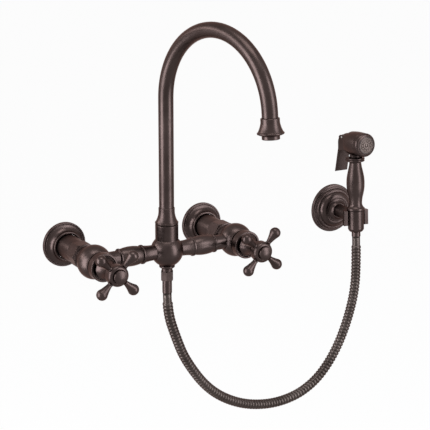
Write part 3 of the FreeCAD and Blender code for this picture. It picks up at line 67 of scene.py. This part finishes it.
def make_camera():
    """A camera 30 degrees to the left and 15 degrees above, as the photograph's was."""
    a, e = AZIMUTH, ELEVATION
    back = Vector((math.sin(a) * math.cos(e), -math.cos(a) * math.cos(e), math.sin(e)))
    right = Vector((math.cos(a), math.sin(a), 0))
    up = Vector((-math.sin(a) * math.sin(e), math.cos(a) * math.sin(e), math.cos(e)))
    place = right * TO_THE_RIGHT + up * UPWARD + back * BACKWARD
    right_turned = right * math.cos(ROLL) + up * math.sin(ROLL)
    up_turned = up * math.cos(ROLL) - right * math.sin(ROLL)
    data = bpy.data.cameras.new("camera")
    data.sensor_width = SENSOR_WIDTH
    data.lens = FOCAL_PIXELS / PICTURE_PIXELS * SENSOR_WIDTH
    data.clip_start = 0.05
    data.clip_end = 100
    camera = bpy.data.objects.new("camera", data)
    bpy.context.scene.collection.objects.link(camera)
    turn = Matrix((right_turned, up_turned, back)).transposed()
    camera.matrix_world = Matrix.Translation(place) @ turn.to_4x4()
    bpy.context.scene.camera = camera


# ---------------------------------------------------------------- the ribbed hose

# The corners of the route that the CAD's hose takes, from the bridge's outlet to the spray.
ROUTE = (
    (0.00000, -0.09260, -0.05590),
    (0.00000, -0.09260, -0.08190),
    (0.01296, -0.09135, -0.12000),
    (0.02791, -0.08991, -0.15540),
    (0.06410, -0.08642, -0.20460),
    (0.11125, -0.08187, -0.23560),
    (0.16229, -0.07695, -0.25000),
    (0.20764, -0.07257, -0.24960),
    (0.24114, -0.06963, -0.23800),
    (0.26566, -0.06847, -0.21780),
    (0.28650, -0.06822, -0.18780),
    (0.30215, -0.06847, -0.15030),
    (0.31241, -0.06885, -0.10920),
    (0.31670, -0.06439, -0.06886),
    (0.31670, -0.06205, -0.03293),
)


def hose_line():
    """Points along the smooth line that the hose follows."""
    curve = bpy.data.curves.new("hose_line", "CURVE")
    curve.dimensions = "3D"
    curve.resolution_u = 30
    spline = curve.splines.new("NURBS")
    spline.points.add(len(ROUTE) - 1)
    for point, place in zip(spline.points, ROUTE):
        point.co = (*place, 1)
    spline.order_u = 3
    spline.use_endpoint_u = True
    carrier = bpy.data.objects.new("hose_line", curve)
    bpy.context.scene.collection.objects.link(carrier)
    bpy.context.view_layer.update()
    seen = carrier.evaluated_get(bpy.context.evaluated_depsgraph_get())
    mesh = bpy.data.meshes.new_from_object(seen)
    line = np.array([v.co for v in mesh.vertices], float)
    bpy.data.objects.remove(carrier)
    bpy.data.meshes.remove(mesh)
    return line


def along_line(line, count):
    """Evenly spaced points along a line, with their directions."""
    steps = np.linalg.norm(np.diff(line, axis=0), axis=1)
    reach = np.concatenate([[0], np.cumsum(steps)])
    spots = np.linspace(0, reach[-1], count)
    points = np.stack([np.interp(spots, reach, line[:, k]) for k in range(3)], axis=1)
    ways = np.gradient(points, axis=0)
    ways /= np.linalg.norm(ways, axis=1)[:, None]
    return spots, points, ways


def mesh_object(name, verts, faces, smooth=True):
    mesh = bpy.data.meshes.new(name)
    mesh.from_pydata([tuple(v) for v in verts], [], faces)
    mesh.update()
    if smooth:
        mesh.polygons.foreach_set("use_smooth", [True] * len(mesh.polygons))
    thing = bpy.data.objects.new(name, mesh)
    bpy.context.scene.collection.objects.link(thing)
    return thing


def face_outward(thing):
    """Turn every face of a closed mesh outward."""
    bm = bmesh.new()
    bm.from_mesh(thing.data)
    bmesh.ops.recalc_face_normals(bm, faces=bm.faces)
    bm.to_mesh(thing.data)
    bm.free()


def tube_rings(points, ways, side, radii, around):
    """Rings of points square to a line; side is a fixed direction that never lies along it."""
    verts = []
    for point, way, radius in zip(points, ways, radii):
        across = side - way * side.dot(way)
        across.normalize()
        up = way.cross(across)
        for k in range(around):
            turn = 2 * math.pi * k / around
            verts.append(point + (across * math.cos(turn) + up * math.sin(turn)) * radius)
    return verts


HOSE_CREST = 0.0067
HOSE_ROOT = 0.0056
HOSE_BORE = 0.0040
RIBS = 118
ROWS_PER_RIB = 14
HOSE_SIDES = 36
LINE_STEPS = 4000

# Shares of a rib's pitch, counted from the middle of a groove to the middle of a crest.
GROOVE_END = 0.07
FLANK, FLANK_END = 0.10, 0.17
HALF_CREST = 0.33
CROWN = 0.00025


def rib_radius(share):
    """The hose's radius across one rib: a crowned band with rounded shoulders, then a groove."""
    share = share % 1.0
    near = min(share, 1 - share)
    if near < GROOVE_END:
        return HOSE_ROOT
    if near < FLANK_END:
        t = (near - GROOVE_END) / FLANK
        return HOSE_ROOT + (HOSE_CREST - CROWN - HOSE_ROOT) * (3 * t * t - 2 * t ** 3)
    t = (near - FLANK_END) / HALF_CREST
    return HOSE_CREST - CROWN * (1 - t) ** 2


def make_hose():
    """The hose as one closed skin: ribs between plain ends, which end flat inside the ferrules."""
    line = hose_line()
    plain = 2 * HOSE_CREST
    total = np.linalg.norm(np.diff(line, axis=0), axis=1).sum()
    pitch = (total - 2 * plain) / RIBS
    cuts = [0.0, plain * 0.5]
    cuts += [plain + pitch * k / ROWS_PER_RIB for k in range(RIBS * ROWS_PER_RIB + 1)]
    cuts += [total - plain * 0.5, total]
    spots, points, ways = along_line(line, LINE_STEPS)
    places = np.stack([np.interp(cuts, spots, points[:, k]) for k in range(3)], axis=1)
    courses = np.stack([np.interp(cuts, spots, ways[:, k]) for k in range(3)], axis=1)
    radii = []
    for cut in cuts:
        inside = plain <= cut <= total - plain
        radii.append(rib_radius((cut - plain) / pitch) if inside else HOSE_ROOT)
    points = [Vector(p) for p in places]
    ways = [Vector(w).normalized() for w in courses]
    run = points[-1] - points[0]
    side = Vector((run.x, run.y, 0)).cross(Vector((0, 0, 1))).normalized()
    around = HOSE_SIDES
    verts = tube_rings(points, ways, side, radii, around)
    inner = tube_rings([points[0], points[-1]], [ways[0], ways[-1]], side, [HOSE_BORE] * 2, around)
    faces = []
    rows = len(points)
    for r in range(rows - 1):
        for k in range(around):
            n = (k + 1) % around
            a, b = r * around, (r + 1) * around
            faces.append((a + k, a + n, b + n, b + k))
    base = rows * around
    top = (rows - 1) * around
    for k in range(around):
        n = (k + 1) % around
        faces.append((base + k, base + n, n, k))
        faces.append((base + around + n, base + around + k, top + k, top + n))
    faces.append(tuple(base + k for k in reversed(range(around))))
    faces.append(tuple(base + around + k for k in range(around)))
    hose = mesh_object("hose_skin", verts + inner, faces)
    face_outward(hose)
    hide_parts("spray_hose")
    return hose


# ---------------------------------------------------------------- two rings on the spray

LEAN = math.radians(3.73)
SPRAY_FOOT = Vector((0.3167, -0.0599, 0))
SPRAY_UP = Vector((0, math.sin(LEAN), math.cos(LEAN)))
SPRAY_OUT = Vector((0, -math.cos(LEAN), math.sin(LEAN)))

# Along the spray's own axis, and for the outlet plate along the head's.
GRIP_BEAD_RADIUS = 0.01150
LOWER_BEAD, LOWER_SECTION = 0.07480, 0.00145
UPPER_BEAD, UPPER_SECTION = 0.07740, 0.00160
GRIP_RING_INSIDE = [(0.0100, 0.0785), (0.0098, 0.0740)]
HEAD_AXIS = 0.0986
PLATE_EDGE = 0.01125
PLATE_FRONT = 0.0268
SHADOW_RING_SECTION = 0.0004


def lathe(name, outline, foot, up, around=96):
    """A closed outline of (radius, height), in metres, turned about an axis."""
    side = up.orthogonal().normalized()
    other = up.cross(side)
    verts, faces = [], []
    for radius, height in outline:
        for k in range(around):
            turn = 2 * math.pi * k / around
            way = side * math.cos(turn) + other * math.sin(turn)
            verts.append(foot + up * height + way * radius)
    rows = len(outline)
    for r in range(rows):
        for k in range(around):
            n, q = (k + 1) % around, (r + 1) % rows
            faces.append((r * around + k, r * around + n, q * around + n, q * around + k))
    thing = mesh_object(name, verts, faces)
    face_outward(thing)
    return thing


def bead(radius, height, section, steps=12, start=-80, end=80):
    """The points of a rounded bead: an arc round its middle, from start to end in degrees."""
    turns = [math.radians(start + (end - start) * k / steps) for k in range(steps + 1)]
    return [(radius + section * math.cos(a), height + section * math.sin(a)) for a in turns]


def make_grip_ring():
    """The double ring at the top of the spray's grip: two thick beads with a groove between."""
    lower = bead(GRIP_BEAD_RADIUS, LOWER_BEAD, LOWER_SECTION)
    upper = bead(GRIP_BEAD_RADIUS, UPPER_BEAD, UPPER_SECTION)
    ring = lathe("grip_ring", lower + upper + GRIP_RING_INSIDE, SPRAY_FOOT, SPRAY_UP)
    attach(ring, "spray")
    return ring


def make_face_shadow_ring():
    """A thin ring of black rubber between the spray's outlet plate and the head's lip: a painted shadow,
    cast by the head's lip on the plate.
    """
    outline = bead(PLATE_EDGE, PLATE_FRONT, SHADOW_RING_SECTION, steps=11, start=0, end=330)
    seal = lathe("face_shadow_ring", outline, SPRAY_FOOT + SPRAY_UP * HEAD_AXIS, SPRAY_OUT)
    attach(seal, "spray")
    return seal


make_camera()
hose = make_hose()
grip_ring = make_grip_ring()
face_shadow_ring = make_face_shadow_ring()


# ---------------------------------------------------------------- materials

def nodes_of(name):
    material = bpy.data.materials.new(name)
    material.use_nodes = True
    tree = material.node_tree
    tree.nodes.clear()
    out = tree.nodes.new("ShaderNodeOutputMaterial")
    shader = tree.nodes.new("ShaderNodeBsdfPrincipled")
    tree.links.new(shader.outputs[0], out.inputs[0])
    return material, tree, shader


def noise(tree, scale, detail, rough, stretch=(1, 1, 1)):
    place = tree.nodes.new("ShaderNodeTexCoord")
    mapping = tree.nodes.new("ShaderNodeMapping")
    mapping.inputs["Scale"].default_value = stretch
    tree.links.new(place.outputs["Object"], mapping.inputs[0])
    grain = tree.nodes.new("ShaderNodeTexNoise")
    grain.inputs["Scale"].default_value = scale
    grain.inputs["Detail"].default_value = detail
    grain.inputs["Roughness"].default_value = rough
    tree.links.new(mapping.outputs[0], grain.inputs["Vector"])
    return grain.outputs["Fac"]


def ramp(tree, source, low, high, first, last):
    node = tree.nodes.new("ShaderNodeValToRGB")
    node.color_ramp.elements[0].position = low
    node.color_ramp.elements[1].position = high
    node.color_ramp.elements[0].color = (*first, 1)
    node.color_ramp.elements[1].color = (*last, 1)
    tree.links.new(source, node.inputs[0])
    return node.outputs["Color"]


def spread(tree, source, low, high, first, last):
    node = tree.nodes.new("ShaderNodeMapRange")
    node.inputs["From Min"].default_value = low
    node.inputs["From Max"].default_value = high
    node.inputs["To Min"].default_value = first
    node.inputs["To Max"].default_value = last
    tree.links.new(source, node.inputs["Value"])
    return node.outputs[0]


def mix_colour(tree, factor, first, second):
    node = tree.nodes.new("ShaderNodeMix")
    node.data_type = "RGBA"
    tree.links.new(factor, node.inputs["Factor"])
    tree.links.new(first, node.inputs["A"])
    node.inputs["B"].default_value = (*second, 1)
    return node.outputs["Result"]


def edge_share(tree, radius, low, high):
    """Where an edge is near: how far the rounded normal turns from the plain one."""
    round_edge = tree.nodes.new("ShaderNodeBevel")
    round_edge.samples = 6
    round_edge.inputs["Radius"].default_value = radius
    plain = tree.nodes.new("ShaderNodeNewGeometry")
    dot = tree.nodes.new("ShaderNodeVectorMath")
    dot.operation = "DOT_PRODUCT"
    tree.links.new(round_edge.outputs[0], dot.inputs[0])
    tree.links.new(plain.outputs["Normal"], dot.inputs[1])
    return round_edge.outputs[0], spread(tree, dot.outputs["Value"], high, low, 0, 1)


def paint_crease_shade(tree, colour, reach):
    """Painted shade: darkens a colour in joints and grooves, by how closely nearby surfaces close them
    in.
    """
    hollow = tree.nodes.new("ShaderNodeAmbientOcclusion")
    hollow.samples = 8
    hollow.inputs["Distance"].default_value = reach
    share = spread(tree, hollow.outputs["AO"], 0.25, 0.85, 0.22, 1.0)
    scale = tree.nodes.new("ShaderNodeVectorMath")
    scale.operation = "SCALE"
    tree.links.new(colour, scale.inputs[0])
    tree.links.new(share, scale.inputs["Scale"])
    return scale.outputs[0]


# Noise scales, in cycles per metre: patches of patina, fine grain, turning marks and scuffs.
CLOUD_SCALE, SPECK_SCALE, TURNING_SCALE, SCUFF_SCALE = 26, 260, 40, 55
METAL_BUMP = 0.0004
GRAZE = (0.75, 0.60, 0.57)


def metal(name, dark, light, wear_and_sheen, rough, grain=0.02, stretch=(1, 1, 1), edge=0.0005, crease_shade_reach=0.004):
    """A metal: clouded colour, edges lightened partly as wear and partly as a painted rim highlight,
    painted shade in creases, and stretched turning marks.
    """
    material, tree, shader = nodes_of(name)
    cloud = noise(tree, CLOUD_SCALE, 6, 0.62)
    speck = noise(tree, SPECK_SCALE, 3, 0.5)
    turning = noise(tree, TURNING_SCALE, 3, 0.6, stretch)
    colour = ramp(tree, cloud, 0.34, 0.68, dark, light)
    soft, near = edge_share(tree, edge, 0.80, 0.985)
    scuff = noise(tree, SCUFF_SCALE, 3, 0.5)
    scuffed = spread(tree, scuff, 0.30, 0.70, 0.15, 0.50)
    amount = tree.nodes.new("ShaderNodeMath")
    amount.operation = "MULTIPLY"
    tree.links.new(near, amount.inputs[0])
    tree.links.new(scuffed, amount.inputs[1])
    # Edges are mixed toward a lighter colour in patches: partly wear, partly a painted rim highlight.
    wear_and_sheen_colour = mix_colour(tree, amount.outputs[0], colour, wear_and_sheen)
    # The colour is darkened in creases and joints: a painted shade.
    tree.links.new(paint_crease_shade(tree, wear_and_sheen_colour, crease_shade_reach), shader.inputs["Base Color"])
    marks = spread(tree, turning, 0.3, 0.7, rough - 0.05, rough + 0.06)
    tree.links.new(marks, shader.inputs["Roughness"])
    shader.inputs["Metallic"].default_value = 1.0
    shader.inputs["Specular Tint"].default_value = (*GRAZE, 1)
    bump = tree.nodes.new("ShaderNodeBump")
    bump.inputs["Strength"].default_value = grain
    bump.inputs["Distance"].default_value = METAL_BUMP
    height = tree.nodes.new("ShaderNodeMath")
    tree.links.new(speck, height.inputs[0])
    tree.links.new(turning, height.inputs[1])
    tree.links.new(height.outputs[0], bump.inputs["Height"])
    tree.links.new(soft, bump.inputs["Normal"])
    tree.links.new(bump.outputs[0], shader.inputs["Normal"])
    return material


def rubber(name, dark, light, rough):
    material, tree, shader = nodes_of(name)
    cloud = noise(tree, 60, 5, 0.6)
    speck = noise(tree, 700, 3, 0.6)
    tree.links.new(ramp(tree, cloud, 0.3, 0.7, dark, light), shader.inputs["Base Color"])
    tree.links.new(spread(tree, speck, 0.3, 0.7, rough - 0.06, rough + 0.06), shader.inputs["Roughness"])
    shader.inputs["Specular IOR Level"].default_value = 0.35
    bump = tree.nodes.new("ShaderNodeBump")
    bump.inputs["Strength"].default_value = 0.12
    bump.inputs["Distance"].default_value = 0.0003
    tree.links.new(speck, bump.inputs["Height"])
    tree.links.new(bump.outputs[0], shader.inputs["Normal"])
    return material


# The third colour is the lighter one at edges: partly wear, partly a painted rim highlight.
DARK, LIGHT, WEAR_AND_RIM_SHEEN = (0.038, 0.0268, 0.0250), (0.057, 0.0408, 0.0382), (0.11, 0.080, 0.073)
BRONZE_ROUGH = 0.33
TURNED_STRETCH = 25
bronze = metal("bronze", DARK, LIGHT, WEAR_AND_RIM_SHEEN, BRONZE_ROUGH)
bronze_across = metal("bronze_across", DARK, LIGHT, WEAR_AND_RIM_SHEEN, BRONZE_ROUGH, stretch=(TURNED_STRETCH, 1, 1))
bronze_out = metal("bronze_out", DARK, LIGHT, WEAR_AND_RIM_SHEEN, BRONZE_ROUGH, stretch=(1, TURNED_STRETCH, 1))
bronze_up = metal("bronze_up", DARK, LIGHT, WEAR_AND_RIM_SHEEN, BRONZE_ROUGH, stretch=(1, 1, TURNED_STRETCH))
# A darker bronze for the hose nut: painted shade, so that its flats stay dark.
bronze_nut_painted_shade = metal("bronze_nut_painted_shade", (0.022, 0.0155, 0.0145), (0.034, 0.024, 0.022), WEAR_AND_RIM_SHEEN, 0.40)
hose_metal = metal(
    "hose_metal", (0.042, 0.033, 0.030), (0.072, 0.058, 0.053), (0.14, 0.115, 0.105), 0.34,
    edge=0.0003, crease_shade_reach=0.002,
)
face_metal = metal(
    "face_metal", (0.060, 0.046, 0.042), (0.085, 0.066, 0.060), (0.14, 0.11, 0.10), 0.36,
    edge=0.0002, crease_shade_reach=0.003,
)
brass = metal("brass", (0.42, 0.27, 0.10), (0.56, 0.38, 0.16), (0.70, 0.52, 0.26), 0.32)
steel = metal("steel", (0.36, 0.35, 0.34), (0.50, 0.49, 0.47), (0.65, 0.64, 0.62), 0.30, 0.03, (1, 1, 8))
black_rubber = rubber("black_rubber", (0.012, 0.012, 0.012), (0.025, 0.024, 0.023), 0.62)
acetal = rubber("acetal", (0.50, 0.49, 0.46), (0.60, 0.59, 0.56), 0.42)
FINISH = {
    "bronze": bronze, "hose": hose_metal, "face": face_metal, "brass": brass,
    "steel": steel, "rubber": black_rubber, "acetal": acetal,
}


def give(thing, material):
    thing.data.materials.clear()
    thing.data.materials.append(material)


# ---------------------------------------------------------------- floor, world and lamps

def light_path(tree):
    """1 for what the camera, a reflection or a see-through surface looks at."""
    path = tree.nodes.new("ShaderNodeLightPath")
    total = path.outputs["Is Camera Ray"]
    for name in ("Is Glossy Ray", "Is Transmission Ray"):
        add = tree.nodes.new("ShaderNodeMath")
        add.operation = "MAXIMUM"
        tree.links.new(total, add.inputs[0])
        tree.links.new(path.outputs[name], add.inputs[1])
        total = add.outputs[0]
    return total


def make_world():
    """Soft light from all round, and plain white for the camera and for reflections."""
    world = bpy.data.worlds.new("world")
    bpy.context.scene.world = world
    world.use_nodes = True
    tree = world.node_tree
    tree.nodes.clear()
    out = tree.nodes.new("ShaderNodeOutputWorld")
    plain = tree.nodes.new("ShaderNodeBackground")
    plain.inputs[0].default_value = (0.94, 0.95, 1.0, 1)
    plain.inputs[1].default_value = 0.35
    white = tree.nodes.new("ShaderNodeBackground")
    white.inputs[0].default_value = (1, 1, 1, 1)
    white.inputs[1].default_value = 1.0
    mix = tree.nodes.new("ShaderNodeMixShader")
    tree.links.new(light_path(tree), mix.inputs[0])
    tree.links.new(plain.outputs[0], mix.inputs[1])
    tree.links.new(white.outputs[0], mix.inputs[2])
    tree.links.new(mix.outputs[0], out.inputs[0])


def make_floor():
    """A plain pale floor, which the camera and reflections see as nearly white."""
    size, level, seen_white = 60.0, -0.85, 0.96
    corners = [(-size, -size, level), (size, -size, level), (size, size, level), (-size, size, level)]
    floor = mesh_object("floor", corners, [(0, 1, 2, 3)], smooth=False)
    material = bpy.data.materials.new("floor")
    material.use_nodes = True
    tree = material.node_tree
    tree.nodes.clear()
    out = tree.nodes.new("ShaderNodeOutputMaterial")
    matt = tree.nodes.new("ShaderNodeBsdfDiffuse")
    matt.inputs[0].default_value = (0.9, 0.9, 0.9, 1)
    glow = tree.nodes.new("ShaderNodeEmission")
    glow.inputs[0].default_value = (1, 1, 1, 1)
    glow.inputs[1].default_value = 1.0
    share = tree.nodes.new("ShaderNodeMath")
    share.operation = "MULTIPLY"
    tree.links.new(light_path(tree), share.inputs[0])
    share.inputs[1].default_value = seen_white
    mix = tree.nodes.new("ShaderNodeMixShader")
    tree.links.new(share.outputs[0], mix.inputs[0])
    tree.links.new(matt.outputs[0], mix.inputs[1])
    tree.links.new(glow.outputs[0], mix.inputs[2])
    tree.links.new(mix.outputs[0], out.inputs[0])
    give(floor, material)


def lamp(name, place, target, wide, high, power, colour=(1, 1, 1)):
    """A soft rectangular lamp that points at a target; sizes in metres, power in watts."""
    data = bpy.data.lights.new(name, "AREA")
    data.shape = "RECTANGLE"
    data.size = wide
    data.size_y = high
    data.energy = power
    data.color = colour
    thing = bpy.data.objects.new(name, data)
    bpy.context.scene.collection.objects.link(thing)
    thing.location = place
    thing.rotation_euler = (Vector(target) - Vector(place)).to_track_quat("-Z", "Y").to_euler()


make_world()
make_floor()
MIDDLE = (0.1, -0.1, 0.1)
COOL = (0.96, 1.0, 1.04)
lamp("left_lamp", (-1.89, 0.02, 0.15), MIDDLE, 1.1, 1.9, 59, COOL)
lamp("right_lamp", (1.1, -1.85, 0.45), MIDDLE, 0.9, 2.5, 52, COOL)
lamp("top_lamp", (-0.1, -0.5, 2.2), (0.1, -0.1, 0.0), 1.4, 0.9, 26)
lamp("back_lamp", (-1.75, 1.25, 0.95), (0.0, -0.17, 0.3), 0.9, 0.8, 16)

# ---------------------------------------------------------------- finish of each piece

# The turned pieces show fine turning marks, which run round the axis that each was turned on.
# The hose nut has a darker colour than the rest: a painted shade, which keeps its flats from lighting up
# with the lamps.
TURNED = {
    bronze_across: ("left_bridge_arm", "right_bridge_arm"),
    bronze_up: (
        "centre_body", "spout_collar", "spout_bell", "spray_grip", "spray_nut", "bracket_fork",
    ),
    bronze_out: tuple(
        side + part for side in ("left_", "right_") for part in (
            "escutcheon", "inlet_sleeve", "union_nut", "valve_body", "bonnet", "handle_hub", "handle_cap",
        )
    ) + ("bracket_flange", "bracket_post", "spray_head"),
    bronze_nut_painted_shade: ("hose_nut",),
}
slots = {part["node"]: part["material_slot"] for part in frame["record"]["subparts"]}
for name, node in frame["nodes"].items():
    give(node, FINISH[slots[name]])
for material, names in TURNED.items():
    for name in names:
        give(frame["nodes"][name], material)
give(hose, hose_metal)
give(grip_ring, bronze_up)
# The black ring round the outlet plate is a painted shadow.
give(face_shadow_ring, black_rubber)
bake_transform(hose)
